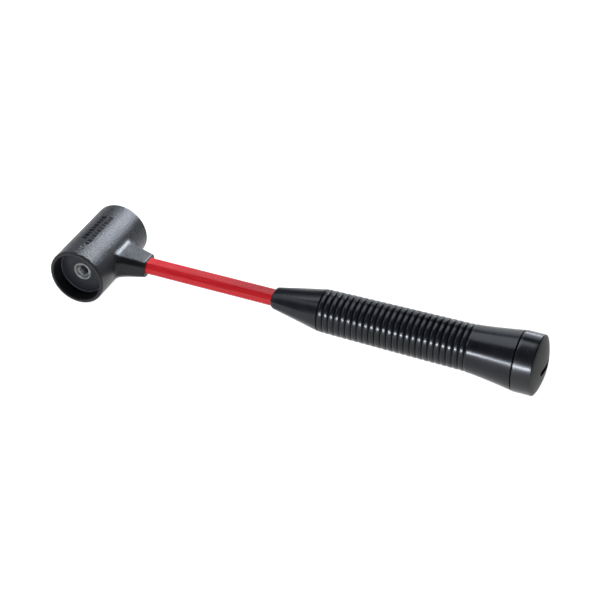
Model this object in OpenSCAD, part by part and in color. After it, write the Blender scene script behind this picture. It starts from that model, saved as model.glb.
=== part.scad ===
// Dead blow hammer with a shot-filled head, screw-on face seats and a ribbed grip.
// It lies on its side: X runs from the head to the butt, Y along the head, Z up.
// The origin is on the resting surface, under the middle of the overall length.

/* [Head] */
// Outer diameter of the barrel
head_d = 44; // [42:0.5:48]
// Length of the barrel, rim to rim
head_len = 71.5; // [68:0.5:76]
// Diameter of the cup at each end, which takes a 38.1 mm striking face
cup_d = 38.4; // [38.2:0.1:39]
// Depth of the cup, from the rim to the seat
cup_depth = 9.3; // [8:0.1:10.5]
// Rounding of the rim's outer edge
rim_round = 1.2; // [0.5:0.1:2]
// Rounding of the rim's inner edge
lip_round = 0.7; // [0.3:0.1:1]

/* [Threaded bushes] */
// Outer diameter of the steel bush
bush_d = 14.3; // [13:0.1:15]
// Length of the bush
bush_len = 14; // [13:0.5:15]
// Bored diameter of the thread, as drilled for 3/8-16
thread_bore_d = 7.94; // [7.8:0.02:8.1]
// Depth of the threaded hole below the bush face
thread_depth = 11; // [10:0.5:12]
// Mouth diameter of the countersink
sink_d = 11.6; // [10:0.1:12]
// Depth of the countersink
sink_depth = 1.9; // [1:0.1:2.5]

/* [Shot canister] */
// Outer diameter of the canister
canister_d = 36; // [35:0.5:37]
// Wall of the canister tube
canister_wall = 1.5; // [1:0.1:2]
// Thickness of the end plates
plate_t = 3; // [2:0.1:3.5]
// Height of the rolled rim round each end plate
plate_rim = 0.4; // [0.2:0.1:0.6]
// Diameter of one ball of the charge
ball_d = 5; // [5:0.1:5.4]
// How far the charge can slide each way
shot_travel = 4; // [2:0.5:5]
// Height of the top layer of balls above the chamber's middle
shot_level = 1; // [0:0.5:8]

/* [Neck] */
// Reach of the neck from the head's axis
neck_end = 42.3; // [41.5:0.1:46]
// Width of the neck inside the barrel, along the head
neck_root_w = 35.4; // [30:0.2:38]
// Height of the neck inside the barrel
neck_root_h = 22.8; // [20:0.2:26]
// Where the neck stops flaring and runs on as a plain taper
neck_waist_x = 29; // [27:0.5:32]
// Width of the neck at its waist
neck_waist_w = 23.4; // [20:0.2:26]
// Height of the neck at its waist
neck_waist_h = 17.4; // [16:0.2:19]
// Width of the neck's outer end
neck_w = 18.4; // [17.5:0.1:20]
// Height of the neck's outer end
neck_h = 13.8; // [13.8:0.1:15]
// Rounding of the neck's outer edge
neck_round = 1.2; // [0.5:0.1:1.2]

/* [Rod] */
// Width of the octagonal rod, along the head
rod_w = 14; // [13:0.1:15]
// Height of the octagonal rod
rod_h = 10.5; // [9.5:0.1:11.5]
// Chamfer of the rod's corners
rod_chamfer = 3.3; // [2.8:0.1:3.6]
// Thickness of the adhesive between the rod and its socket
bond_t = 0.4; // [0.2:0.1:0.4]

/* [Grip] */
// Where the grip's nose starts, from the head's axis
grip_start = 144.5; // [142:0.5:148]
// Radius of the rounding round the grip's nose
nose_round = 2.6; // [1:0.1:3]
// Radius of the grip's nose
nose_r = 8.3; // [8.2:0.1:9]
// Number of ribs
rib_count = 25; // [20:1:26]
// Distance from rib to rib
rib_pitch = 4.47; // [4.3:0.01:4.5]
// Depth of the groove between two ribs
rib_depth = 1.1; // [0.6:0.1:1.4]
// Centre of the first rib, from the head's axis
rib_start = 186; // [185:0.5:188]
// Crest radius of the first rib
crest_front_r = 15.8; // [15:0.1:16.5]
// Crest radius of the last rib
crest_rear_r = 17.1; // [16.5:0.1:17.4]
// Radius of the smooth waist behind the ribs
waist_r = 17.3; // [17:0.1:18]
// Radius of the flare where it meets the butt cap
flare_r = 21.7; // [20:0.1:21.9]
// Rear end of the sleeve's outer surface
sleeve_end = 330.6; // [329:0.1:331]

/* [Butt cap] */
// Diameter of the butt band, which rests level with the head
band_d = 44; // [42:0.5:44]
// Front edge of the band, from the head's axis
band_start = 331.6; // [331.2:0.1:333]
// Rear edge of the band
band_end = 345.8; // [344:0.1:347]
// Tip of the domed end
butt_end = 350.4; // [349:0.1:352]
// Diameter of the sleeve's spigot inside the cap
spigot_d = 38; // [36:0.5:39]
// Length of the sunk slot in the domed end, along the head
slot_len = 20; // [8:0.5:24]
// Height of the sunk slot
slot_h = 4.5; // [3:0.5:6]
// Depth of the slot below the dome's tip
slot_depth = 2.2; // [1.2:0.1:2.5]

/* [Hidden] */
$fn = 96;

head_r = head_d / 2;
cup_r = cup_d / 2;
seat_y = head_len / 2 - cup_depth;
canister_r = canister_d / 2;
chamber_r = canister_r - canister_wall;
plate_back = seat_y - plate_t;
bush_r = bush_d / 2;
bush_back = seat_y - bush_len;
rod_start = canister_r + 2.5;
rod_end = band_end - 4;
socket_start = rod_start - bond_t;
band_r = band_d / 2;
spigot_r = spigot_d / 2;
spigot_end = band_start + 4;
// Half the overall length, from the head's far side to the butt's tip
half_len = (head_r + butt_end) / 2;
// The neck starts inside the barrel, clear of the canister
neck_root_x = 12;
// Shares of the neck's width and height taken by its corner chamfers
neck_cut_w = 0.15;
neck_cut_h = 0.2;
slice_t = 0.1;
// A cut runs this far past a face so that it opens cleanly
past = 1;

// Points of a quarter round: centre (x, y), radius r, from angle a0 to a1
function arc(x, y, r, a0, a1, n = 6) =
  [for (i = [0 : n]) let (a = a0 + (a1 - a0) * i / n) [x + r * cos(a), y + r * sin(a)]];

// Moves from the head's centre to the resting frame
module at_head()
  translate([head_r - half_len, 0, head_r]) children();

// Turns an outline of (radius, distance) about the head's axis, +Y
module spin_y()
  rotate([-90, 0, 0]) rotate_extrude() children();

// Turns an outline of (radius, distance) about the handle's axis, +X
module spin_x()
  rotate([0, 90, 0]) rotate_extrude() children();

// Octagon, w along Y and h along Z, with corners cut by cy and cz
module octagon(w, h, cy, cz)
  polygon([
    [h / 2, w / 2 - cy], [h / 2 - cz, w / 2], [cz - h / 2, w / 2], [-h / 2, w / 2 - cy],
    [-h / 2, cy - w / 2], [cz - h / 2, -w / 2], [h / 2 - cz, -w / 2], [h / 2, cy - w / 2]]);

// Runs an outline along the handle, from x0 to x1
module along_x(x0, x1)
  translate([x0, 0, 0]) rotate([0, 90, 0]) linear_extrude(x1 - x0) children();

// Octagonal bar along the handle, from x0 to x1
module octagon_bar(x0, x1, w, h, cy, cz)
  along_x(x0, x1) octagon(w, h, cy, cz);

// The rod's own section, grown by g on every side
module rod_bar(x0, x1, g = 0)
  octagon_bar(x0, x1, rod_w + 2 * g, rod_h + 2 * g, rod_chamfer + 0.6 * g, rod_chamfer + 0.6 * g);

// Thin slice of the neck, used as one end of a hull
module neck_slice(x, w, h)
  octagon_bar(x - slice_t, x, w, h, neck_cut_w * w, neck_cut_h * h);

// Tapered octagonal neck, flared where it leaves the barrel and rounded at its mouth
module neck() {
  hull() {
    neck_slice(neck_root_x, neck_root_w, neck_root_h);
    neck_slice(neck_waist_x, neck_waist_w, neck_waist_h);
  }
  hull() {
    neck_slice(neck_waist_x, neck_waist_w, neck_waist_h);
    for (a = [0 : 30 : 90]) {
      inset = 2 * neck_round * (1 - cos(a));
      neck_slice(neck_end - neck_round * (1 - sin(a)), neck_w - inset, neck_h - inset);
    }
  }
}

// Outer outline of the barrel with rounded rims
module barrel_outline() {
  y = head_len / 2;
  polygon(concat(
    [[0, -y]],
    arc(head_r - rim_round, -y + rim_round, rim_round, -90, 0),
    arc(head_r - rim_round, y - rim_round, rim_round, 0, 90),
    [[0, y]]));
}

// Outline cut from the barrel at one end, with its inner edge rounded
module cup_outline() {
  y = head_len / 2;
  polygon(concat(
    [[0, seat_y], [cup_r, seat_y]],
    arc(cup_r + lip_round, y - lip_round, lip_round, 180, 90),
    [[cup_r + lip_round, y + past], [0, y + past]]));
}

module head_body()
  color("#2b2c30")
    at_head()
      difference() {
        union() {
          spin_y() barrel_outline();
          neck();
        }
        spin_y() cup_outline();
        mirror([0, 1, 0]) spin_y() cup_outline();
        rotate([-90, 0, 0]) cylinder(r = canister_r, h = 2 * seat_y + 0.2, center = true);
        rod_bar(socket_start, neck_end + past, bond_t);
      }

module canister_tube()
  color("#8d9096")
    at_head()
      rotate([-90, 0, 0])
        difference() {
          cylinder(r = canister_r, h = 2 * plate_back, center = true);
          cylinder(r = chamber_r, h = 2 * plate_back + past, center = true);
        }

// End plate with a rolled rim round its outer face
module end_plate()
  spin_y()
    polygon([
      [bush_r, plate_back], [canister_r, plate_back], [canister_r, seat_y],
      [canister_r - 0.9, seat_y], [canister_r - 1.4, seat_y - plate_rim], [bush_r, seat_y - plate_rim]]);

module end_plate_front()
  color("#34353a") at_head() mirror([0, 1, 0]) end_plate();

module end_plate_rear()
  color("#34353a") at_head() end_plate();

// Blind bush with a countersunk mouth
module bush()
  spin_y()
    polygon([
      [0, bush_back], [bush_r, bush_back], [bush_r, seat_y], [sink_d / 2, seat_y],
      [thread_bore_d / 2, seat_y - sink_depth], [thread_bore_d / 2, seat_y - thread_depth],
      [0, seat_y - thread_depth]]);

module bush_front()
  color("#b9bbb8") at_head() mirror([0, 1, 0]) bush();

module bush_rear()
  color("#b9bbb8") at_head() bush();

// Balls lying in the lower part of the chamber, clear of both bushes at full travel
module shot_charge() {
  gap = 0.2;
  step = ball_d + gap;
  row = step * sqrt(3) / 2;
  wall_reach = chamber_r - ball_d / 2 - gap;
  bush_clear = bush_r + ball_d / 2 + gap;
  end_reach = plate_back - ball_d / 2 - gap - shot_travel;
  mid_reach = bush_back - ball_d / 2 - gap - shot_travel;
  layers = floor(end_reach / step);
  color("#a9abb0")
    at_head()
      for (layer = [-layers : layers], k = [-3 : 3], i = [-3 : 3]) {
        y = layer * step;
        z = k * row;
        x = (i + (k % 2 == 0 ? 0 : 0.5)) * step;
        r = norm([x, z]);
        if (r <= wall_reach && z <= shot_level && (abs(y) <= mid_reach || r >= bush_clear))
          translate([x, y, z]) sphere(d = ball_d, $fn = 24);
      }
}

module handle_rod()
  color("#c41f2b") at_head() rod_bar(rod_start, rod_end);

module bond_layer()
  color("#d8c27a")
    at_head()
      difference() {
        rod_bar(socket_start, neck_end - 0.5, bond_t);
        rod_bar(rod_start, neck_end + past);
      }

// Radius of the rib crests at a distance x from the head's axis
function crest_r(x) =
  crest_front_r + (crest_rear_r - crest_front_r) * pow((x - rib_start) / (rib_pitch * rib_count), 0.8);

// One rib: a rounded crest between two groove bottoms
function rib(i) =
  let (x = rib_start + i * rib_pitch, r = crest_r(x))
  [for (s = [-1, -0.78, -0.5, 0, 0.5, 0.78]) [r - rib_depth * pow(abs(s), 4), x + s * rib_pitch / 2]];

// Smooth flare from the waist at x0 to the sleeve's rear end, in n steps
function flare(x0, n = 8) =
  [for (i = [0 : n]) let (t = i / n)
    [waist_r + (flare_r - waist_r) * pow(t, 1.25), x0 + (sleeve_end - x0) * t]];

// Outer outline of the grip sleeve: nose, cone, ribs, flare and spigot
module sleeve_outline() {
  ribs_end = rib_start + (rib_count - 0.5) * rib_pitch;
  polygon(concat(
    [[0, grip_start]],
    arc(nose_r - nose_round, grip_start + nose_round, nose_round, -90, -10),
    [[crest_front_r - 0.2, rib_start - rib_pitch / 2 - 0.4]],
    [for (i = [0 : rib_count - 1]) each rib(i)],
    [[crest_rear_r - rib_depth, ribs_end]],
    flare(ribs_end + 0.6),
    [[spigot_r, sleeve_end], [spigot_r, spigot_end], [0, spigot_end]]));
}

module grip_sleeve()
  color("#1c1d20")
    at_head()
      difference() {
        spin_x() sleeve_outline();
        rod_bar(grip_start - past, spigot_end + past);
      }

// Outline of the sunk slot, with round ends
module slot_outline() {
  square([slot_h, slot_len - slot_h], center = true);
  for (s = [-1, 1]) translate([0, s * (slot_len - slot_h) / 2]) circle(d = slot_h);
}

// Domed cap that closes the sleeve and covers the rod's end
module butt_cap() {
  edge = 1.2;
  dome = butt_end - band_end;
  color("#1f2023")
    at_head()
      difference() {
        spin_x()
          polygon(concat(
            [[0, band_start], [band_r - 0.5, band_start], [band_r, band_start + 0.5]],
            arc(band_r - edge, band_end - edge, edge, 0, 50),
            [for (i = [1 : 6]) let (t = i / 6)
              [(band_r - edge) * (1 - t), band_end + dome * (1 - pow(1 - t, 2))]]));
        rod_bar(band_start - past, rod_end);
        along_x(band_start - past, spigot_end) circle(r = spigot_r);
        along_x(butt_end - slot_depth, butt_end + past) slot_outline();
      }
}

head_body();
canister_tube();
end_plate_front();
end_plate_rear();
bush_front();
bush_rear();
shot_charge();
handle_rod();
bond_layer();
grip_sleeve();
butt_cap();
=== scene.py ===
# %% [markdown]
# # A dead blow hammer, dressed in Blender
#
# This lesson takes a plain engineering model of a dead blow hammer and gives it its looks. The hammer has
# a black moulded head with an open cup at each end, a steel bush in each cup for a screw-on striking face,
# a red octagonal glass-fibre rod, and a black ribbed grip that ends in a domed cap.
#
# The engineering model is loaded first, as a frame that never moves. The main sizes below are read from it,
# so that the pieces made here land where the frame says. Blender works in metres.

from math import atan2, ceil, cos, pi, radians, sin, sqrt

import bmesh
import bpy
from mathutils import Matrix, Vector


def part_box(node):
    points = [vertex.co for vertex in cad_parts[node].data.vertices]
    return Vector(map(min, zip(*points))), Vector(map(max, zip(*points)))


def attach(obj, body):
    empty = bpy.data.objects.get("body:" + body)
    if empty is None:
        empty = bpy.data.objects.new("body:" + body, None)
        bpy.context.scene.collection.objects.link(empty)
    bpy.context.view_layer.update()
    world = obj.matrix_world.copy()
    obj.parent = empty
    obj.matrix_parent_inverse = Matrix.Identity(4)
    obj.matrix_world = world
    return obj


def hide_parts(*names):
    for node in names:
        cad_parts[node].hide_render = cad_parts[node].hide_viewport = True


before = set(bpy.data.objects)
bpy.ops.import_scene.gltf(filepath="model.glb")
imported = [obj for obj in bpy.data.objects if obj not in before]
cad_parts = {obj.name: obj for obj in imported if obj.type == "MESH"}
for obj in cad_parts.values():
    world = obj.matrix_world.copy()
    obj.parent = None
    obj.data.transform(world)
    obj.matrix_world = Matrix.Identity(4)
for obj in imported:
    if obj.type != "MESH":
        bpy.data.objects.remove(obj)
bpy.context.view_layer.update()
MM = 0.001

# %% [markdown]
# ## Reading the main sizes
#
# The head is a barrel whose axis runs along Y, and the handle runs along X. Sizes that a box can't tell, such
# as the width of a cup or the rounding of its rim, are named where they are used.

# %% Main sizes
head_low, head_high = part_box("head_body")
HEAD_R = (head_high.z - head_low.z) / 2
HEAD_X = head_low.x + HEAD_R
AXIS_Z = head_low.z + HEAD_R
HEAD_HALF = head_high.y
NECK_END = head_high.x

plate_low, plate_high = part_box("end_plate_rear")
SEAT_Y = plate_high.y
CANISTER_R = (plate_high.z - plate_low.z) / 2
PLATE_BACK = plate_low.y

bush_low, bush_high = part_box("bush_rear")
BUSH_R = (bush_high.z - bush_low.z) / 2
BUSH_BACK = bush_low.y

rod_low, rod_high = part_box("handle_rod")
ROD_W, ROD_H = rod_high.y - rod_low.y, rod_high.z - rod_low.z
bond_low, bond_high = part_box("bond_layer")
SOCKET_W, SOCKET_H = bond_high.y - bond_low.y, bond_high.z - bond_low.z

sleeve_low, sleeve_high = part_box("grip_sleeve")
cap_low, cap_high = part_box("butt_cap")
CAP_R = (cap_high.z - cap_low.z) / 2
print(f"barrel radius {HEAD_R / MM:.1f} mm, half length {HEAD_HALF / MM:.2f} mm")
print(f"rod {ROD_W / MM:.1f} by {ROD_H / MM:.1f} mm, socket {SOCKET_W / MM:.1f} by {SOCKET_H / MM:.1f} mm")

# %% [markdown]
# ## The camera
#
# A catalogue picture of a tool is taken from a good distance with a long lens, so that the near end isn't
# swollen. The camera could be dragged into place by hand, but three plain numbers are easier to read and to
# change: how far round it stands, how high, and how far away. It looks at a point close to the middle of the
# hammer.

# %% Camera
VIEW_ROUND = radians(23.63)
VIEW_UP = radians(35.59)
VIEW_DISTANCE = 1.2788
AIM = Vector((0.0016, -0.0020, 0.0274))
LENS, FULL_FRAME = 106.4, 36

camera_data = bpy.data.cameras.new("catalogue_camera")
camera_data.lens = LENS
camera_data.sensor_width = FULL_FRAME
camera = bpy.data.objects.new("catalogue_camera", camera_data)
bpy.context.scene.collection.objects.link(camera)
toward_camera = Vector((sin(VIEW_ROUND) * cos(VIEW_UP), -cos(VIEW_ROUND) * cos(VIEW_UP), sin(VIEW_UP)))
camera.location = AIM + VIEW_DISTANCE * toward_camera
camera.rotation_euler = toward_camera.to_track_quat("Z", "Y").to_euler()
bpy.context.scene.camera = camera
print("camera at", [round(c, 3) for c in camera.location])

# %% [markdown]
# ## Lofting: one tool for almost every piece
#
# Most of this hammer can be described as a row of loops, like the ribs of a boat: every loop has the same
# number of points, and the skin is stretched from each loop to the next. Blender has screw and skin
# modifiers for this, but building the quads directly keeps the edge flow exact, and the same helper then
# makes the rod, the ribbed grip, the cap, the plates and the threaded bushes.
#
# An edge that turns more than 32 degrees is marked sharp, so it stays crisp while the rest shades smoothly.

# %% Loft helper
SHARP = radians(32)


def piece_from(name, points, faces):
    """A smooth-shaded object from points and faces, with outward normals and crisp corners."""
    mesh = bpy.data.meshes.new(name)
    mesh.from_pydata([tuple(p) for p in points], [], faces)
    shell = bmesh.new()
    shell.from_mesh(mesh)
    bmesh.ops.delete(shell, geom=[v for v in shell.verts if not v.link_faces], context="VERTS")
    bmesh.ops.recalc_face_normals(shell, faces=shell.faces)
    open_edges = sum(1 for e in shell.edges if not e.is_manifold)
    shell.to_mesh(mesh)
    shell.free()
    mesh.shade_smooth()
    mesh.set_sharp_from_angle(angle=SHARP)
    piece = bpy.data.objects.new(name, mesh)
    bpy.context.scene.collection.objects.link(piece)
    print(f"{name}: {len(mesh.polygons)} faces, {open_edges} open edges")
    return piece


def loft(name, loops, ring=False):
    """Stretches a skin over loops of equal length. ring joins the last loop to the first."""
    n = len(loops[0])
    points = [p for loop in loops for p in loop]
    rows = range(len(loops)) if ring else range(len(loops) - 1)
    faces = []
    for row in rows:
        a, b = row * n, (row + 1) % len(loops) * n
        faces += [(a + i, a + (i + 1) % n, b + (i + 1) % n, b + i) for i in range(n)]
    if not ring:
        faces.append(tuple(range(n)))
        faces.append(tuple((len(loops) - 1) * n + i for i in range(n)))
    return piece_from(name, points, faces)


def arc(x, y, r, start, stop, steps=6):
    """Points of a round stretch about (x, y), from one angle to another, in degrees."""
    turns = [radians(start + (stop - start) * i / steps) for i in range(steps + 1)]
    return [(x + r * cos(t), y + r * sin(t)) for t in turns]


def along_handle(outline, sides=96):
    """Round loops about the handle's axis from (radius, x) pairs."""
    turns = [2 * pi * i / sides for i in range(sides)]
    return [[Vector((x, r * cos(t), AXIS_Z + r * sin(t))) for t in turns] for r, x in outline]


def along_head(outline, end, sides=96):
    """Round loops about the head's axis from (radius, y) pairs. end is -1 for the near cup, 1 for the far."""
    turns = [2 * pi * i / sides for i in range(sides)]
    return [[Vector((HEAD_X + r * cos(t), end * y, AXIS_Z + r * sin(t))) for t in turns] for r, y in outline]


# %% [markdown]
# ## The eight-sided loop
#
# The rod, its socket and the neck are rectangles with clipped corners, which makes them eight-sided. Moulded
# and pultruded corners are never knife sharp, so each point is averaged a few times with its neighbours,
# which rounds the corners and leaves the flats alone. The loop has a fixed number of points on each side, so
# that corners line up from one loop to the next and make straight edges.

# %% Octagon loop
TOP_CELLS, SIDE_CELLS, CORNER_CELLS = 24, 20, 12


def octagon(x, w, h, cut_w, cut_h, soften=4):
    """A softened octagon across the handle at x, starting in the middle of its (+Y, +Z) corner."""
    a, b = w / 2, h / 2
    corners = [(a - cut_w, b), (cut_w - a, b), (-a, b - cut_h), (-a, cut_h - b),
               (cut_w - a, -b), (a - cut_w, -b), (a, cut_h - b), (a, b - cut_h)]
    cells = [TOP_CELLS, CORNER_CELLS, SIDE_CELLS, CORNER_CELLS] * 2
    flat = []
    for k, n in enumerate(cells):
        (y0, z0), (y1, z1) = corners[k], corners[(k + 1) % 8]
        flat += [(y0 + (y1 - y0) * i / n, z0 + (z1 - z0) * i / n) for i in range(n)]
    half = CORNER_CELLS // 2
    flat = flat[-half:] + flat[:-half]
    for _ in range(soften):
        flat = [((flat[i - 1][0] + 2 * p[0] + flat[(i + 1) % len(flat)][0]) / 4,
                 (flat[i - 1][1] + 2 * p[1] + flat[(i + 1) % len(flat)][1]) / 4) for i, p in enumerate(flat)]
    return [Vector((x, y, AXIS_Z + z)) for y, z in flat]


LOOP = 2 * (TOP_CELLS + SIDE_CELLS) + 4 * CORNER_CELLS
print("points in one octagon loop:", LOOP)

# %% [markdown]
# ## The head casting
#
# The real head is one moulding: a barrel with a cup at each end, and a tapered neck that grows out of its
# side through a soft fillet. That fillet catches the light as a bright line, so it has to be real geometry.
#
# A boolean of a cylinder and a cone would join them along a ragged edge that no bevel can round well. Here
# the barrel is a grid with a rectangular window, and the neck is lofted ring by ring: out of its socket,
# round its mouth, down its taper, over the fillet, across the barrel's surface, and into the window's own
# points. The result is one closed skin of quads.

# %% Head sizes
RIM_ROUND, LIP_ROUND = 1.2 * MM, 0.7 * MM
CUP_R = 19.2 * MM
NECK_W, NECK_H, NECK_ROUND = 18.4 * MM, 13.8 * MM, 1.2 * MM
NECK_CUT_W, NECK_CUT_H = 0.15, 0.2
TAPER_W, TAPER_H = 0.41, 0.31
FLARE_FROM, FLARE_W, FLARE_H = 29 * MM, 0.033, 0.004
FILLET = 3.2 * MM
AROUND = 120
WINDOW_CELLS = SIDE_CELLS + CORNER_CELLS
WINDOW_ROWS = TOP_CELLS + CORNER_CELLS
WINDOW_HALF = 22 * MM
ROD_CUT = 3.3 * MM
BOND = (SOCKET_W - ROD_W) / 2
SOCKET_CUT = ROD_CUT + 0.6 * BOND
print(f"cup {2 * CUP_R / MM:.1f} mm across, neck {NECK_W / MM:.1f} by {NECK_H / MM:.1f} mm at its mouth")


def neck_loop(reach, inset=0.0):
    """The neck's section at a distance from the head's axis. It tapers, and flares close to the barrel."""
    back = NECK_END - NECK_ROUND - HEAD_X - reach
    flare = max(0.0, FLARE_FROM - reach) ** 2 / MM
    w = NECK_W + TAPER_W * max(0.0, back) + FLARE_W * flare - 2 * inset
    h = NECK_H + TAPER_H * max(0.0, back) + FLARE_H * flare - 2 * inset
    return octagon(HEAD_X + reach, w, h, NECK_CUT_W * w, NECK_CUT_H * h)


def on_barrel(y, sweep):
    """A point of the barrel's surface. sweep is measured round it, in metres, from the handle's side."""
    turn = sweep / HEAD_R
    return Vector((HEAD_X + HEAD_R * cos(turn), y, AXIS_Z + HEAD_R * sin(turn)))


# %% [markdown]
# ### Where the neck meets the barrel
#
# Each point of the neck slides down until it touches the barrel. The fillet is then a small curve pulled
# between three points: one on the neck a little above the meeting point, the meeting point itself, and one
# a little outward from it on the barrel.

# %% Fillet between neck and barrel
def meet_barrel(k):
    """How far from the head's axis the neck's k-th edge touches the barrel."""
    reach = HEAD_R
    for _ in range(8):
        z = neck_loop(reach)[k].z - AXIS_Z
        reach = sqrt(max(HEAD_R ** 2 - z ** 2, 0.0))
    return reach


def neck_point(k, reach):
    return neck_loop(reach)[k]


touch = [meet_barrel(k) for k in range(LOOP)]
foot = [neck_point(k, touch[k]) for k in range(LOOP)]
foot_flat = [Vector((p.y, HEAD_R * atan2(p.z - AXIS_Z, p.x - HEAD_X))) for p in foot]


def outward(k):
    """Direction away from the neck on the unrolled barrel."""
    along = foot_flat[(k + 3) % LOOP] - foot_flat[k - 3]
    return Vector((-along.y, along.x)).normalized()


side = 1 if outward(0).dot(foot_flat[0]) > 0 else -1
landing = [foot_flat[k] + side * FILLET * outward(k) for k in range(LOOP)]


def fillet_loop(t):
    """One loop of the fillet, from the neck (t = 0) to the barrel (t = 1)."""
    loop = []
    for k in range(LOOP):
        above, below = neck_point(k, touch[k] + FILLET), on_barrel(*landing[k])
        loop.append((1 - t) ** 2 * above + 2 * t * (1 - t) * foot[k] + t ** 2 * below)
    return loop


print(f"the neck touches the barrel {min(touch) / MM:.1f} to {max(touch) / MM:.1f} mm from the head's axis")

# %% [markdown]
# ### Closing the skin
#
# The barrel is a closed outline turned about Y: outer wall, rounded rim, cup wall, cup floor, the bore that
# holds the shot canister, and the same again at the other end. Only the faces inside the window are left out,
# and the neck's last loop is stitched to the window's edge.

# %% Build the head
def barrel_outline():
    """(radius, y) all the way round the barrel's wall, and the rows that bound the window."""
    straight = HEAD_HALF - RIM_ROUND
    lead, rows = 8, []
    rows += [(HEAD_R, -straight + (straight - WINDOW_HALF) * i / lead) for i in range(lead)]
    first = len(rows)
    rows += [(HEAD_R, -WINDOW_HALF + 2 * WINDOW_HALF * i / WINDOW_ROWS) for i in range(WINDOW_ROWS)]
    last = len(rows)
    rows += [(HEAD_R, WINDOW_HALF + (straight - WINDOW_HALF) * i / lead) for i in range(lead)]
    far = arc(HEAD_R - RIM_ROUND, straight, RIM_ROUND, 0, 90)
    far += arc(CUP_R + LIP_ROUND, HEAD_HALF - LIP_ROUND, LIP_ROUND, 90, 180, 4)
    far += [(CUP_R, SEAT_Y + 3 * MM), (CUP_R, SEAT_Y), (CANISTER_R, SEAT_Y)]
    near = [(r, -y) for r, y in reversed(far)]
    return rows + far + near[:-1], first, last


outline, first, last = barrel_outline()
half_window = WINDOW_CELLS // 2
points = []
for r, y in outline:
    for i in range(AROUND):
        turn = 2 * pi * i / AROUND
        points.append(Vector((HEAD_X + r * cos(turn), y, AXIS_Z + r * sin(turn))))


def barrel_index(row, step):
    return row % len(outline) * AROUND + step % AROUND


faces = []
for row in range(len(outline)):
    for step in range(-AROUND // 2, AROUND // 2):
        if first <= row < last and -half_window <= step < half_window:
            continue
        faces.append((barrel_index(row, step), barrel_index(row, step + 1),
                      barrel_index(row + 1, step + 1), barrel_index(row + 1, step)))

window = [barrel_index(row, half_window) for row in range(last, first, -1)]
window += [barrel_index(first, step) for step in range(half_window, -half_window, -1)]
window += [barrel_index(row, -half_window) for row in range(first, last)]
window += [barrel_index(last, step) for step in range(-half_window, half_window)]
print("barrel faces:", len(faces), "and points round the window:", len(window))

# %% [markdown]
# ### The neck
#
# The neck is a hollow taper with a rounded mouth, and the rod is glued into it. It could be added as a piece
# of its own, but then a seam would show where the real moulding has none. So its loops are listed in one run,
# from the bottom of the socket outward and then back over the mouth to the barrel, and the last loop is the
# window's own edge.

# %% Loft the neck into the window
def window_flat(k):
    p = points[window[k]]
    return Vector((p.y, HEAD_R * atan2(p.z - AXIS_Z, p.x - HEAD_X)))


def between(a, b, n):
    return [a + (b - a) * i / n for i in range(n + 1)]


neck = [octagon(x, SOCKET_W, SOCKET_H, SOCKET_CUT, SOCKET_CUT) for x in between(bond_low.x, NECK_END, 4)]
for angle in range(90, -1, -15):
    inset = NECK_ROUND * (1 - cos(radians(angle)))
    neck.append(neck_loop(NECK_END - HEAD_X - NECK_ROUND * (1 - sin(radians(angle))), inset))
mouth_reach = NECK_END - HEAD_X - NECK_ROUND
neck += [neck_loop(reach) for reach in between(mouth_reach, FLARE_FROM, 5)[1:]]
for t in between(0, 1, 4)[1:-1]:
    neck.append([neck_point(k, FLARE_FROM + (touch[k] + FILLET - FLARE_FROM) * t) for k in range(LOOP)])
neck += [fillet_loop(t) for t in between(0, 1, 8)]
for t in between(0, 1, 6)[1:-1]:
    ease = t * t * (3 - 2 * t)
    neck.append([on_barrel(*(landing[k].lerp(window_flat(k), (t + ease) / 2))) for k in range(LOOP)])

start = len(points)
points += [p for loop in neck for p in loop]
loops = [[start + j * LOOP + k for k in range(LOOP)] for j in range(len(neck))] + [window]
for a, b in zip(loops, loops[1:]):
    faces += [(a[k], a[(k + 1) % LOOP], b[(k + 1) % LOOP], b[k]) for k in range(LOOP)]
faces.append(tuple(loops[0]))

head = piece_from("head_casting", points, faces)

# %% [markdown]
# ### A plain moulded pattern
#
# Makers mould their name on the barrel. Here the same area carries two rows of plain raised bars, which say
# nothing. Each bar is a small curved box that follows the barrel and is sunk a little way into it, so that no
# gap opens under it. The lengths vary, because an even row of bars would look like a ratchet, and the bars
# get a finish of their own later, darker and duller than the barrel's.

# %% Raised bars on the barrel
BAR_LENGTHS = [length * MM for length in (2.1, 3.2, 1.5, 2.7, 1.8, 3.0, 2.3)]
BAR_GAP, BAR_PROUD, BAR_SUNK, BAR_DRAFT = 1.3 * MM, 0.25 * MM, 0.5 * MM, 0.2 * MM
BAR_SPREAD = 9


def bar_row(middle, spread, y0, y1):
    """Points and faces of a row of bars, from y0 to y1. middle and spread are degrees round the barrel."""
    row_points, row_faces, steps = [], [], 6
    a, bar = y0, 0
    while a + BAR_LENGTHS[bar % len(BAR_LENGTHS)] <= y1:
        length = BAR_LENGTHS[bar % len(BAR_LENGTHS)]
        base = len(row_points)
        for i in range(steps + 1):
            turn = radians(middle - spread / 2 + spread * i / steps)
            for r, y in ((HEAD_R - BAR_SUNK, a), (HEAD_R + BAR_PROUD, a + BAR_DRAFT),
                         (HEAD_R + BAR_PROUD, a + length - BAR_DRAFT), (HEAD_R - BAR_SUNK, a + length)):
                row_points.append(Vector((HEAD_X + r * cos(turn), y, AXIS_Z + r * sin(turn))))
        for i in range(steps):
            j = base + 4 * i
            row_faces += [(j + c, j + (c + 1) % 4, j + 4 + (c + 1) % 4, j + 4 + c) for c in range(4)]
        row_faces += [tuple(base + c for c in range(4)), tuple(base + 4 * steps + c for c in range(4))]
        a, bar = a + length + BAR_GAP, bar + 1
    return row_points, row_faces


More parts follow.
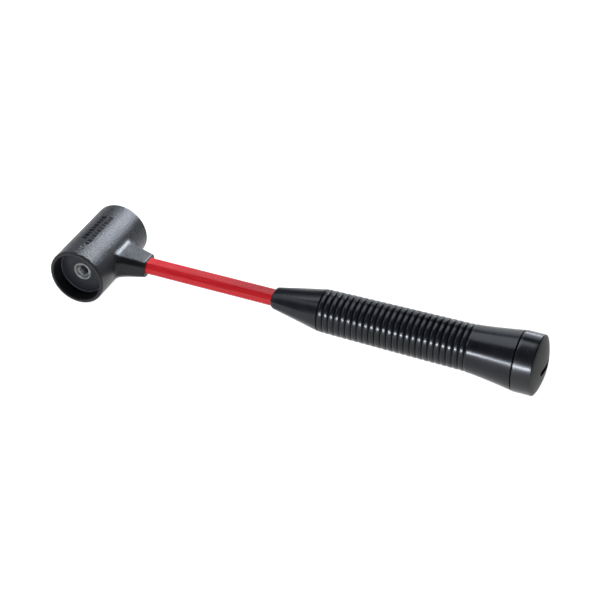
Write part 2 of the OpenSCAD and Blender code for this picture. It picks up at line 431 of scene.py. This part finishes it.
upper, upper_faces = bar_row(99, BAR_SPREAD, -15 * MM, 20 * MM)
lower, lower_faces = bar_row(84, BAR_SPREAD, -21 * MM, 21 * MM)
bars = piece_from("moulded_bars", upper + lower,
                  upper_faces + [tuple(i + len(upper) for i in face) for face in lower_faces])

# %% [markdown]
# ## End plates
#
# A pressed steel plate closes the shot chamber at the bottom of each cup. Its edge is rolled into a bead that
# stands a little proud, and a shallow step runs round the bush. Both are round, so the plate is turned.

# %% End plates
BEAD = 0.45 * MM


def end_plate(name, end):
    """A pressed plate, turned about the head's axis. end is -1 for the near cup, 1 for the far."""
    face = SEAT_Y - BEAD
    outline = [(BUSH_R, PLATE_BACK), (CANISTER_R, PLATE_BACK), (CANISTER_R, face)]
    outline += arc(CANISTER_R - BEAD, face, BEAD, 0, 180)
    outline += [(CANISTER_R - 2.4 * BEAD, face - 0.25 * MM), (CANISTER_R - 5 * BEAD, face - 0.1 * MM)]
    outline += [(BUSH_R + 2.2 * MM, face - 0.1 * MM), (BUSH_R + 1.9 * MM, face + 0.1 * MM)]
    outline += [(BUSH_R, face + 0.1 * MM)]
    return loft(name, along_head(outline, end), ring=True)


plates = {"end_plate_front": end_plate("near_end_plate", -1),
          "end_plate_rear": end_plate("far_end_plate", 1)}

# %% [markdown]
# ## Threaded bushes
#
# A striking face screws into each bush. The thread is cut for real: going round the hole, the radius follows
# a zigzag whose phase also depends on the depth, and that is all a helix is. The countersink in front of
# it shows up clearly from outside.

# %% Threaded bushes
PITCH = 25.4 / 16 * MM
DRILLED_R = 3.97 * MM
THREAD_DEEP = 0.75 * MM
SINK_R, SINK_DEEP = 5.8 * MM, 1.9 * MM
HOLE_DEEP = 11 * MM


def thread_loop(y, end, sides, run):
    """One loop of the thread at distance y from the head's middle. run fades the thread in, from 0 to 1."""
    loop = []
    for i in range(sides):
        turn = 2 * pi * i / sides
        phase = (end * y / PITCH + turn / (2 * pi)) % 1
        ridge = abs(2 * phase - 1)
        r = DRILLED_R + run * THREAD_DEEP * min(1, max(0, 1.25 * ridge - 0.12))
        loop.append(Vector((HEAD_X + r * cos(turn), end * y, AXIS_Z + r * sin(turn))))
    return loop


def threaded_bush(name, end, sides=64):
    """The outside, the countersink, and then the thread down to the blind bottom of the hole."""
    chamfer, top = 0.35 * MM, SEAT_Y
    outside = [(BUSH_R, BUSH_BACK), (BUSH_R, top - chamfer), (BUSH_R - chamfer, top)]
    outside += [(SINK_R + 0.15 * MM, top), (SINK_R, top - 0.12 * MM)]
    outside += [(DRILLED_R + THREAD_DEEP, top - SINK_DEEP)]
    loops = along_head(outside, end, sides)
    bottom = top - HOLE_DEEP
    depth = top - SINK_DEEP - bottom
    steps = ceil(depth / PITCH * 10)
    for i in range(steps + 1):
        part = i / steps
        loops.append(thread_loop(top - SINK_DEEP - depth * part, end, sides, min(1, 12 * (1 - part))))
    return loft(name, loops)


bushes = {"bush_front": threaded_bush("near_threaded_bush", -1),
          "bush_rear": threaded_bush("far_threaded_bush", 1)}

# %% [markdown]
# ## Rod and adhesive
#
# The rod is a pultruded glass-fibre bar, so it is the same octagon from end to end. The thin sleeve of
# adhesive shows only as a line round the rod where it enters the neck.

# %% Rod and adhesive
rod = loft("octagonal_rod", [octagon(x, ROD_W, ROD_H, ROD_CUT, ROD_CUT, 3)
                             for x in between(rod_low.x, rod_high.x, 24)])

bond_end = bond_high.x
bond_loops = [octagon(x, SOCKET_W, SOCKET_H, SOCKET_CUT, SOCKET_CUT) for x in (bond_low.x, bond_end)]
bond_loops += [octagon(x, ROD_W, ROD_H, ROD_CUT, ROD_CUT, 3) for x in (bond_end, rod_low.x)]
adhesive = loft("adhesive_layer", bond_loops)

# %% [markdown]
# ## The grip sleeve
#
# The sleeve is turned, with two departures from a plain lathe. Its nose still shows the flats of the
# octagonal rod and only becomes round further back, and its bore is the rod's own octagon. Each rib is a full
# round crest with a narrow groove beside it, so that light breaks into one spark on every rib.

# %% Grip sizes
RIBS, RIB_PITCH, RIB_DEEP = 25, 4.47 * MM, 1.15 * MM
RIB_FIRST = HEAD_X + 186 * MM
CREST_FRONT, CREST_REAR = 15.8 * MM, 17.1 * MM
WAIST_R, FLARE_R = 17.3 * MM, 21.7 * MM
NOSE_R, NOSE_ROUND = 8.3 * MM, 2.6 * MM
SLEEVE_END = HEAD_X + 330.6 * MM
SPIGOT_R = 19 * MM
SLEEVE_CHAMFER = 0.2 * MM
LEAN, LEAN_LENGTH = 0.55, 38 * MM
GRIP_SIDES = 128


def crest_r(x):
    """Radius of the ribs' crests, which grows a little toward the butt."""
    return CREST_FRONT + (CREST_REAR - CREST_FRONT) * max(0, (x - RIB_FIRST) / (RIB_PITCH * RIBS)) ** 0.8


def sleeve_outline():
    """(radius, x) of the sleeve's outside from the nose back to the spigot."""
    nose = sleeve_low.x
    rows = arc(NOSE_R - NOSE_ROUND, nose + NOSE_ROUND, NOSE_ROUND, -90, -12, 8)
    cone_end = RIB_FIRST - 0.5 * RIB_PITCH - 0.5 * MM
    r0, x0 = rows[-1]
    rows += [(r0 + (CREST_FRONT - 0.15 * MM - r0) * t, x0 + (cone_end - x0) * t)
             for t in between(0, 1, 20)[1:]]
    for rib in range(RIBS):
        middle = RIB_FIRST + rib * RIB_PITCH
        for step in (-1, -0.9, -0.76, -0.56, -0.3, 0, 0.3, 0.56, 0.76, 0.9):
            rows.append((crest_r(middle) - RIB_DEEP * abs(step) ** 4.6, middle + step * RIB_PITCH / 2))
    groove = RIB_FIRST + (RIBS - 0.5) * RIB_PITCH
    rows += [(CREST_REAR - RIB_DEEP, groove), (WAIST_R - 0.35 * MM, groove + 0.2 * MM)]
    flare_from, flare_to = groove + 0.7 * MM, SLEEVE_END - SLEEVE_CHAMFER
    rows += [(WAIST_R + (FLARE_R - WAIST_R) * t ** 1.25, flare_from + (flare_to - flare_from) * t)
             for t in between(0, 1, 24)]
    rows += [(FLARE_R - SLEEVE_CHAMFER, SLEEVE_END), (SPIGOT_R, SLEEVE_END), (SPIGOT_R, sleeve_high.x)]
    return rows


def octagon_r(turn, w, h, cut):
    """Distance from the middle of an octagon to its edge, in one direction."""
    c, s = abs(cos(turn)), abs(sin(turn))
    reach = [w / 2 / c if c > 1e-9 else 1e9, h / 2 / s if s > 1e-9 else 1e9, (w / 2 + h / 2 - cut) / (c + s)]
    return min(reach)


def sleeve_loop(r, x):
    """A loop of the sleeve. Near the nose it leans toward the rod's own octagon."""
    lean = LEAN * max(0.0, 1 - (x - sleeve_low.x) / LEAN_LENGTH) ** 0.8
    mean = (ROD_W + ROD_H) / 4 * 1.02
    loop = []
    for i in range(GRIP_SIDES):
        turn = 2 * pi * i / GRIP_SIDES
        flats = octagon_r(turn, ROD_W, ROD_H, ROD_CUT) / mean
        local = r * (1 + lean * (flats - 1))
        loop.append(Vector((x, local * cos(turn), AXIS_Z + local * sin(turn))))
    return loop


def bore_loop(x):
    """The rod's own octagon, as a loop of the sleeve's bore."""
    turns = [2 * pi * i / GRIP_SIDES for i in range(GRIP_SIDES)]
    radii = [octagon_r(t, ROD_W, ROD_H, ROD_CUT) for t in turns]
    return [Vector((x, r * cos(t), AXIS_Z + r * sin(t))) for t, r in zip(turns, radii)]


grip_loops = [sleeve_loop(r, x) for r, x in sleeve_outline()]
grip_loops += [bore_loop(sleeve_high.x), bore_loop(sleeve_low.x)]
grip = loft("ribbed_grip", grip_loops, ring=True)

# %% [markdown]
# ## The butt cap
#
# The cap is a straight band and a shallow dome, with a narrow dark groove in front of it. It is turned as a
# hollow shell over the sleeve's spigot. The sunk slot in the dome is the one feature that isn't round, so it
# is cut afterwards with a boolean, the simplest tool for a clean pocket.

# %% Butt cap
BAND_END = HEAD_X + 345.8 * MM
EDGE, FRONT_EDGE = 1.2 * MM, 0.25 * MM
SLOT_LEN, SLOT_H, SLOT_DEEP = 20 * MM, 4.5 * MM, 2.2 * MM
POCKET_END = rod_high.x
SLOT_FOOT, SLOT_POINTS = 0.3 * MM, 48


def cap_outline():
    """(radius, x) of the band, its rounded edge and the dome."""
    dome = cap_high.x - BAND_END
    rows = [(SPIGOT_R, cap_low.x)]
    rows += arc(CAP_R - FRONT_EDGE, cap_low.x + FRONT_EDGE, FRONT_EDGE, -90, 0, 4)
    rows += [(CAP_R, x) for x in between(cap_low.x + FRONT_EDGE, BAND_END - EDGE, 6)[1:]]
    rows += arc(CAP_R - EDGE, BAND_END - EDGE, EDGE, 0, 62, 6)[1:]
    rim_r = rows[-1][0]
    rows += [(rim_r * (1 - t), BAND_END + dome * (1 - (1 - t) ** 2)) for t in between(0, 1, 16)[1:-1]]
    return rows


cap_loops = along_handle([(SPIGOT_R, sleeve_high.x)] + cap_outline(), GRIP_SIDES)
cap_loops = [bore_loop(POCKET_END), bore_loop(sleeve_high.x)] + cap_loops
cap = loft("domed_cap", cap_loops)


def slot_loop(x, grow):
    """A stadium outline across the handle at x."""
    r, half, loop = SLOT_H / 2 + grow, (SLOT_LEN - SLOT_H) / 2, []
    for i in range(SLOT_POINTS):
        turn = 2 * pi * (i + 0.5) / SLOT_POINTS
        shift = half if cos(turn) > 0 else -half
        loop.append(Vector((x, shift + r * cos(turn), AXIS_Z + r * sin(turn))))
    return loop


slot_floor = cap_high.x - SLOT_DEEP
cutter = loft("slot_cutter", [slot_loop(slot_floor, -SLOT_FOOT), slot_loop(slot_floor + SLOT_FOOT, 0),
                              slot_loop(cap_high.x + 2 * MM, 0)])
cut = cap.modifiers.new("slot", "BOOLEAN")
cut.object, cut.operation, cut.solver = cutter, "DIFFERENCE", "EXACT"
bpy.context.view_layer.update()
sunk = bpy.data.meshes.new_from_object(cap.evaluated_get(bpy.context.evaluated_depsgraph_get()))
cap.modifiers.clear()
cap.data = sunk
cap.data.name = "domed_cap"
cap.data.set_sharp_from_angle(angle=SHARP)
bpy.data.objects.remove(cutter)
print("cap faces after the slot:", len(cap.data.polygons))

# %% [markdown]
# ## Finishes
#
# Every finish starts from Blender's Principled shader and a few small node helpers. Noise is read in object
# coordinates, which here are metres in the frame, so a grain of 1.3 mm is asked for as 1.3 mm and keeps its
# size on every piece. Numbers that are the same all over a surface are typed into the shader itself, and only
# what changes from place to place comes through nodes.

# %% Node helpers
def new_finish(name, sockets):
    """A material with its shader's fixed values set. Returns the material, its nodes and the shader."""
    material = bpy.data.materials.new(name)
    material.use_nodes = True
    shader = material.node_tree.nodes["Principled BSDF"]
    for socket, value in sockets.items():
        shader.inputs[socket].default_value = value
    return material, material.node_tree, shader


def place(tree, scale=(1, 1, 1), shift=(0, 0, 0)):
    """Object coordinates, moved and then stretched."""
    where = tree.nodes.new("ShaderNodeTexCoord")
    mapping = tree.nodes.new("ShaderNodeMapping")
    mapping.vector_type = "POINT"
    mapping.inputs["Scale"].default_value = scale
    mapping.inputs["Location"].default_value = shift
    tree.links.new(where.outputs["Object"], mapping.inputs["Vector"])
    return mapping.outputs["Vector"]


def grain(tree, size, detail=4, vector=None, rough=0.5):
    """Noise whose lumps are about size across, in metres."""
    noise = tree.nodes.new("ShaderNodeTexNoise")
    noise.inputs["Scale"].default_value = 1 / size
    noise.inputs["Detail"].default_value = detail
    noise.inputs["Roughness"].default_value = rough
    tree.links.new(vector or place(tree), noise.inputs["Vector"])
    return noise.outputs["Fac"]


def spread(tree, value, low, high, out_low=0.0, out_high=1.0):
    """Stretches a value from one range to another."""
    node = tree.nodes.new("ShaderNodeMapRange")
    for socket, number in zip(("From Min", "From Max", "To Min", "To Max"), (low, high, out_low, out_high)):
        node.inputs[socket].default_value = number
    tree.links.new(value, node.inputs["Value"])
    return node.outputs["Result"]


def maths(tree, how, a, b=None):
    """A sum on links, plain numbers, or one of each."""
    node = tree.nodes.new("ShaderNodeMath")
    node.operation = how
    for socket, value in zip(node.inputs, (a, b)):
        if isinstance(value, (int, float)):
            socket.default_value = value
        elif value is not None:
            tree.links.new(value, socket)
    return node.outputs["Value"]


def blend_colours(tree, amount, first, second):
    """Mixes two colours, or links, by an amount that varies over the surface."""
    node = tree.nodes.new("ShaderNodeMix")
    node.data_type = "RGBA"
    tree.links.new(amount, node.inputs["Factor"])
    for socket, colour in zip((node.inputs[6], node.inputs[7]), (first, second)):
        if isinstance(colour, tuple):
            socket.default_value = (*colour, 1)
        else:
            tree.links.new(colour, socket)
    return node.outputs[2]


def relief(tree, shader, height, depth, strength=1.0):
    """Adds bump. depth is the height, in metres, between the darkest and the palest value of height."""
    bump = tree.nodes.new("ShaderNodeBump")
    bump.inputs["Strength"].default_value = strength
    bump.inputs["Distance"].default_value = depth
    tree.links.new(height, bump.inputs["Height"])
    tree.links.new(bump.outputs["Normal"], shader.inputs["Normal"])


def axis(tree, letter):
    """One object coordinate."""
    where = tree.nodes.new("ShaderNodeTexCoord")
    split = tree.nodes.new("ShaderNodeSeparateXYZ")
    tree.links.new(where.outputs["Object"], split.inputs["Vector"])
    return split.outputs[letter]


# %% [markdown]
# ### Moulded composite
#
# The head is a glass-filled moulding. Its mould was spark-eroded, which leaves a pebble grain, and long use
# wears the rim of each cup to a paler grey. The grain could be modelled, but a bump that is worked out from
# noise costs no faces and looks the same at this size. One noise of 1.3 mm gives the bump. It is mixed with
# a coarser one of 1.9 mm for the roughness, so that the broad highlight breaks up into separate glints. The
# bump fades toward the neck, which was polished smoother than the barrel. The raised bars wear the same
# finish with other numbers: darker, duller and nearly smooth.

# %% Head finish
WORN_RIM = (0.013, 0.0135, 0.016)


def head_finish(name, colours, roughness, depth, ior=1.34):
    """Pebbled moulding between two colours, worn paler at the rims of the cups."""
    material, tree, shader = new_finish(name, {"IOR": ior})
    pebble = grain(tree, 1.3 * MM, 3, rough=0.6)
    coarse = grain(tree, 1.9 * MM, 3)
    patches = grain(tree, 14 * MM, 4)
    plain = blend_colours(tree, spread(tree, patches, 0.3, 0.7), *colours)
    edge = spread(tree, maths(tree, "ABSOLUTE", axis(tree, "Y")), HEAD_HALF - 0.9 * MM, HEAD_HALF - 0.1 * MM)
    worn = maths(tree, "MULTIPLY", edge, spread(tree, grain(tree, 3 * MM, 5), 0.25, 0.6, 0.35, 1))
    tree.links.new(blend_colours(tree, worn, plain, WORN_RIM), shader.inputs["Base Color"])
    mottle = maths(tree, "ADD", maths(tree, "MULTIPLY", pebble, 0.5), maths(tree, "MULTIPLY", coarse, 0.5))
    tree.links.new(spread(tree, mottle, 0.33, 0.67, *roughness), shader.inputs["Roughness"])
    barrel = spread(tree, axis(tree, "X"), HEAD_X + HEAD_R, HEAD_X + 0.7 * HEAD_R, 0.4, 1)
    relief(tree, shader, maths(tree, "MULTIPLY", pebble, barrel), depth, 1.0)
    return material


composite = head_finish("moulded_composite", ((0.0075, 0.0078, 0.0095), (0.0135, 0.0138, 0.0160)),
                        (0.42, 0.24), 0.60 * MM)
matt_bar = head_finish("matt_bars", ((0.0032, 0.0033, 0.0044), (0.0060, 0.0062, 0.0076)),
                       (0.60, 0.45), 0.05 * MM, ior=1.10)
print("head finishes:", composite.name, "and", matt_bar.name)

# %% [markdown]
# ### Steel
#
# The bushes are turned steel. A lathe tool leaves rings about the axis, so a ring wave gives the bump,
# and a patchy noise stands for handling marks in the colour and the roughness. The thread is painted darker
# from the mouth inward: partly oil and dirt, and partly painted shade of the deep hole. The same helper with
# other numbers makes the drawn canister and the shot, which are only seen in a cutaway.

# %% Steel finishes
def steel_finish(name, colours, roughness, ring_pitch, depth, oil_and_painted_shade_bore=False):
    """Turned steel with rings about the head's axis. oil_and_painted_shade_bore darkens the hole from its
    mouth inward, partly for oil and partly as painted shade.
    """
    material, tree, shader = new_finish(name, {"Metallic": 1.0})
    marks = grain(tree, 2.2 * MM, 6)
    colour = blend_colours(tree, spread(tree, marks, 0.35, 0.7), *colours)
    if oil_and_painted_shade_bore:
        # Painted shade: the hole's colour darkens from the mouth inward, partly for oil and partly for the
        # shade deep in the hole.
        mouth = SEAT_Y - SINK_DEEP
        out = spread(tree, maths(tree, "ABSOLUTE", axis(tree, "Y")), mouth - 4.5 * MM, mouth - 0.3 * MM)
        colour = blend_colours(tree, out, (0.035, 0.033, 0.030), colour)
    tree.links.new(colour, shader.inputs["Base Color"])
    tree.links.new(spread(tree, marks, 0.3, 0.75, *roughness), shader.inputs["Roughness"])
    rings = tree.nodes.new("ShaderNodeTexWave")
    rings.wave_type, rings.rings_direction = "RINGS", "Y"
    rings.inputs["Scale"].default_value = pi / (10 * ring_pitch)
    rings.inputs["Distortion"].default_value = 1.5
    tree.links.new(place(tree, shift=(-HEAD_X, 0, -AXIS_Z)), rings.inputs["Vector"])
    relief(tree, shader, rings.outputs["Fac"], depth, 0.5)
    return material


bush_steel = steel_finish("turned_steel", ((0.17, 0.174, 0.17), (0.32, 0.324, 0.32)), (0.34, 0.52),
                          0.25 * MM, 0.005 * MM, oil_and_painted_shade_bore=True)
can_steel = steel_finish("drawn_steel", ((0.30, 0.30, 0.31), (0.46, 0.46, 0.46)), (0.35, 0.55),
                         0.5 * MM, 0.01 * MM)
shot_steel = steel_finish("oiled_shot", ((0.22, 0.22, 0.23), (0.42, 0.41, 0.40)), (0.25, 0.5),
                          0.9 * MM, 0.004 * MM)
print("steel finishes:", [steel.name for steel in (bush_steel, can_steel, shot_steel)])

# %% [markdown]
# ### Blackened plates
#
# The end plates are steel with a satin black coat. The coat wears through on the rolled bead, which is the
# first thing a face touches when it is screwed in, and fine dust dulls the flat. The wear follows the
# distance from the axis, broken up by noise.

# %% Plate finish
def plate_finish():
    """Satin black coat, worn through on the rolled bead."""
    material, tree, shader = new_finish("black_coated_plate", {"IOR": 1.33})
    speck = grain(tree, 0.35 * MM, 5)
    away = tree.nodes.new("ShaderNodeVectorMath")
    away.operation = "LENGTH"
    tree.links.new(place(tree, scale=(1, 0, 1), shift=(-HEAD_X, 0, -AXIS_Z)), away.inputs[0])
    bead = spread(tree, away.outputs["Value"], CANISTER_R - 1.5 * BEAD, CANISTER_R - 0.4 * BEAD)
    worn = maths(tree, "MULTIPLY", bead, spread(tree, grain(tree, 2.5 * MM, 6), 0.3, 0.62, 0.15, 1))
    plain = blend_colours(tree, spread(tree, speck, 0.35, 0.75),
                          (0.0055, 0.0057, 0.0075), (0.011, 0.0114, 0.014))
    tree.links.new(blend_colours(tree, worn, plain, (0.09, 0.094, 0.10)), shader.inputs["Base Color"])
    tree.links.new(spread(tree, speck, 0.3, 0.7, 0.34, 0.50), shader.inputs["Roughness"])
    relief(tree, shader, speck, 0.02 * MM, 0.4)
    return material


plate_coat = plate_finish()
print("plate finish:", plate_coat.name)

# %% [markdown]
# ### Pultruded rod
#
# A pultruded bar is bundles of glass pulled through a die in coloured resin. Close up, fine strands run the
# whole length and lie just under the skin. Stretching the noise about eighty times along X gives the strands,
# a thin clear coat gives the skin a little gloss, and slow patches stop the red from being flat.

# %% Rod finish
def rod_finish():
    """Red resin over long strands of glass."""
    material, tree, shader = new_finish("pultruded_red", {
        "IOR": 1.28, "Coat Weight": 0.05, "Coat Roughness": 0.15})
    fibres = grain(tree, 0.28 * MM, 5, place(tree, scale=(0.012, 1, 1)), 0.6)
    slow = grain(tree, 9 * MM, 3, place(tree, scale=(0.3, 1, 1)))
    red = blend_colours(tree, spread(tree, fibres, 0.32, 0.68), (0.23, 0.0035, 0.005), (0.43, 0.011, 0.014))
    tree.links.new(blend_colours(tree, spread(tree, slow, 0.3, 0.8, 0, 0.55), red, (0.27, 0.006, 0.008)),
                   shader.inputs["Base Color"])
    tree.links.new(spread(tree, fibres, 0.3, 0.7, 0.24, 0.40), shader.inputs["Roughness"])
    relief(tree, shader, fibres, 0.012 * MM, 0.6)
    return material


rod_red = rod_finish()
print("rod finish:", rod_red.name)

# %% [markdown]
# ### Resin, grip and cap
#
# The adhesive is a dark amber resin. The grip is a soft rubber, moulded against a polished tool, so it is
# nearly black with a tight sheen and only a very fine grain. The cap is the same rubber, but its dome has the
# dull skin of a part that lands on the floor. All three differ only in numbers, so one helper makes them.

# %% Rubber and resin finishes
def rubber_finish(name, colours, roughness, grain_size, depth, dome_dull=0.0, ior=1.42):
    """Smooth dark rubber or resin. dome_dull is the roughness that the cap's dome gains over its band."""
    material, tree, shader = new_finish(name, {"IOR": ior})
    fine = grain(tree, grain_size, 4)
    patches = grain(tree, 11 * MM, 5)
    colour = blend_colours(tree, spread(tree, patches, 0.3, 0.72), *colours)
    tree.links.new(colour, shader.inputs["Base Color"])
    mottle = maths(tree, "ADD", maths(tree, "MULTIPLY", fine, 0.5), maths(tree, "MULTIPLY", patches, 0.5))
    rough = spread(tree, mottle, 0.35, 0.65, *roughness)
    if dome_dull:
        dome = spread(tree, axis(tree, "X"), BAND_END - 0.9 * MM, BAND_END + 0.2 * MM, 0, dome_dull)
        rough = maths(tree, "ADD", rough, dome)
    tree.links.new(rough, shader.inputs["Roughness"])
    relief(tree, shader, fine, depth, 0.5)
    return material


resin = rubber_finish("cured_resin", ((0.020, 0.012, 0.009), (0.045, 0.026, 0.016)), (0.2, 0.4),
                      1.2 * MM, 0.02 * MM)
grip_rubber = rubber_finish("grip_rubber", ((0.0034, 0.0036, 0.0050), (0.0066, 0.0069, 0.0088)), (0.19, 0.28),
                            0.4 * MM, 0.008 * MM, ior=1.36)
cap_rubber = rubber_finish("cap_rubber", ((0.0036, 0.0038, 0.0050), (0.0070, 0.0073, 0.0090)), (0.20, 0.29),
                           0.5 * MM, 0.012 * MM, dome_dull=0.28, ior=1.455)
print("rubber and resin finishes:", [rubber.name for rubber in (resin, grip_rubber, cap_rubber)])

# %% [markdown]
# ## Dressing the frame
#
# Each new piece rides on the body its frame node belongs to, stands in for that node, and names the material
# slot it wears. The canister and the shot are sealed in the head, so they keep their engineering shape and
# only change their finish.

# %% Dress the pieces
dressing = [
    (head, "head_body", "head_composite", composite),
    (bars, "head_body", "head_composite", matt_bar),
    (plates["end_plate_front"], "end_plate_front", "plate_black", plate_coat),
    (plates["end_plate_rear"], "end_plate_rear", "plate_black", plate_coat),
    (bushes["bush_front"], "bush_front", "bush_steel", bush_steel),
    (bushes["bush_rear"], "bush_rear", "bush_steel", bush_steel),
    (rod, "handle_rod", "rod_red", rod_red),
    (adhesive, "bond_layer", "bond_resin", resin),
    (grip, "grip_sleeve", "grip_black", grip_rubber),
    (cap, "butt_cap", "cap_black", cap_rubber),
]
for piece, node, slot, material in dressing:
    piece.data.materials.clear()
    piece.data.materials.append(material)
    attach(piece, "hammer")
    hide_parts(node)

for node, material in (("canister_tube", can_steel), ("shot_charge", shot_steel)):
    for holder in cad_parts[node].material_slots:
        holder.material = material
print("pieces dressed:", len(dressing), "and frame nodes kept: 2")

# %% [markdown]
# ## Floor
#
# Catalogue pictures are often taken on a sheet of translucent white that is lit from below, so that it comes
# out plain white without washing out the tool. A pale floor lit from above could do the same, but it would
# need so much light that the black head would turn grey. So the sheet glows by itself, and only a little
# light is left for it to reflect. It is large and its edge turns up, so that no dark gap shows beyond it in
# low views.

# %% Floor
FLOOR_HALF, EDGE_UP = 12.0, 1.2
GLOW = 0.96
corners = [(-FLOOR_HALF, -FLOOR_HALF), (FLOOR_HALF, -FLOOR_HALF),
           (FLOOR_HALF, FLOOR_HALF), (-FLOOR_HALF, FLOOR_HALF)]
floor_mesh = bpy.data.meshes.new("studio_floor")
floor_mesh.from_pydata([(x, y, z) for z in (0, EDGE_UP) for x, y in corners], [],
                       [(0, 1, 2, 3)] + [(i, i + 4, (i + 1) % 4 + 4, (i + 1) % 4) for i in range(4)])
studio_floor = bpy.data.objects.new("studio_floor", floor_mesh)
bpy.context.scene.collection.objects.link(studio_floor)
paper, paper_tree, paper_shader = new_finish("lit_white_sheet", {
    "Roughness": 0.9, "Specular IOR Level": 0.1, "Emission Color": (1, 1, 1, 1), "Emission Strength": GLOW})
paper_fibres = grain(paper_tree, 1.5 * MM, 3)
paper_tree.links.new(blend_colours(paper_tree, paper_fibres, (0.22, 0.22, 0.22), (0.26, 0.26, 0.26)),
                     paper_shader.inputs["Base Color"])
studio_floor.data.materials.append(paper)
print(f"floor {2 * FLOOR_HALF:.0f} m across, edge {EDGE_UP} m high")

# %% [markdown]
# ## Light
#
# A dark shiny tool is lit by what it reflects, so each panel is placed for one reflection. Two large soft
# panels, one overhead and one at the side, fill the whole tool. A small panel above the head, with a narrow
# beam so that it lights little else, draws the highlight along the barrel. A narrow bright strip in front
# makes a spark on every rib. Behind, a large dim panel fills the back and a small strip draws the cap's edge.
#
# Seen from behind, the front strip would mirror itself along the top of the barrel and burn it out. Light
# linking is Blender's way to leave a piece out of one light's reach: the head and its bars are put in a
# collection that the strip excludes. It belongs to the pieces and not to the camera, so every view agrees.

# %% Lights
PANEL_TINT = (0.84, 0.90, 1.0)
WORLD_GLOW = 0.04


def panel(name, where, size, radiance, aim=(0, 0, 0.02), beam=180):
    """A rectangular area light. size is (up and down, across), radiance how bright its face looks, and
    beam how wide it shines, in degrees."""
    data = bpy.data.lights.new(name, "AREA")
    data.shape = "RECTANGLE"
    data.size, data.size_y = size
    data.color = PANEL_TINT
    data.energy = radiance * pi * size[0] * size[1]
    data.spread = radians(beam)
    lamp = bpy.data.objects.new(name, data)
    lamp.location = Vector(where)
    lamp.rotation_euler = (Vector(where) - Vector(aim)).to_track_quat("Z", "X").to_euler()
    bpy.context.scene.collection.objects.link(lamp)
    return lamp


panel("overhead_panel", (-0.40, 0.22, 1.0), (0.7, 0.78), 3.4)
panel("side_panel", (-1.10, -0.35, 0.75), (0.7, 0.7), 2.4)
panel("head_panel", (-0.055, 0.38, 0.36), (0.18, 0.18), 4.5, aim=(HEAD_X + 0.004, 0, AXIS_Z), beam=36)
front_strip = panel("front_strip", (-0.10, -0.76, 0.20), (0.045, 0.40), 130.0)
panel("rear_panel", (-0.25, 1.20, 0.60), (0.8, 0.9), 1.7)
panel("rear_strip", (0.02, 0.78, 0.22), (0.13, 0.12), 8.0)

shaded = bpy.data.collections.new("shaded_from_front_strip")
for piece in (head, bars):
    shaded.objects.link(piece)
for member in shaded.collection_objects:
    member.light_linking.link_state = "EXCLUDE"
front_strip.light_linking.receiver_collection = shaded

world = bpy.data.worlds.new("studio")
world.use_nodes = True
world.node_tree.nodes["Background"].inputs["Color"].default_value = (1, 1, 1, 1)
world.node_tree.nodes["Background"].inputs["Strength"].default_value = WORLD_GLOW
bpy.context.scene.world = world
bpy.context.scene.view_settings.view_transform = "Standard"

# %% [markdown]
# ## Bringing the scene up to date
#
# The last cell updates the view layer, so that every piece and light stands where it was put.

# %% Finish
bpy.context.view_layer.update()
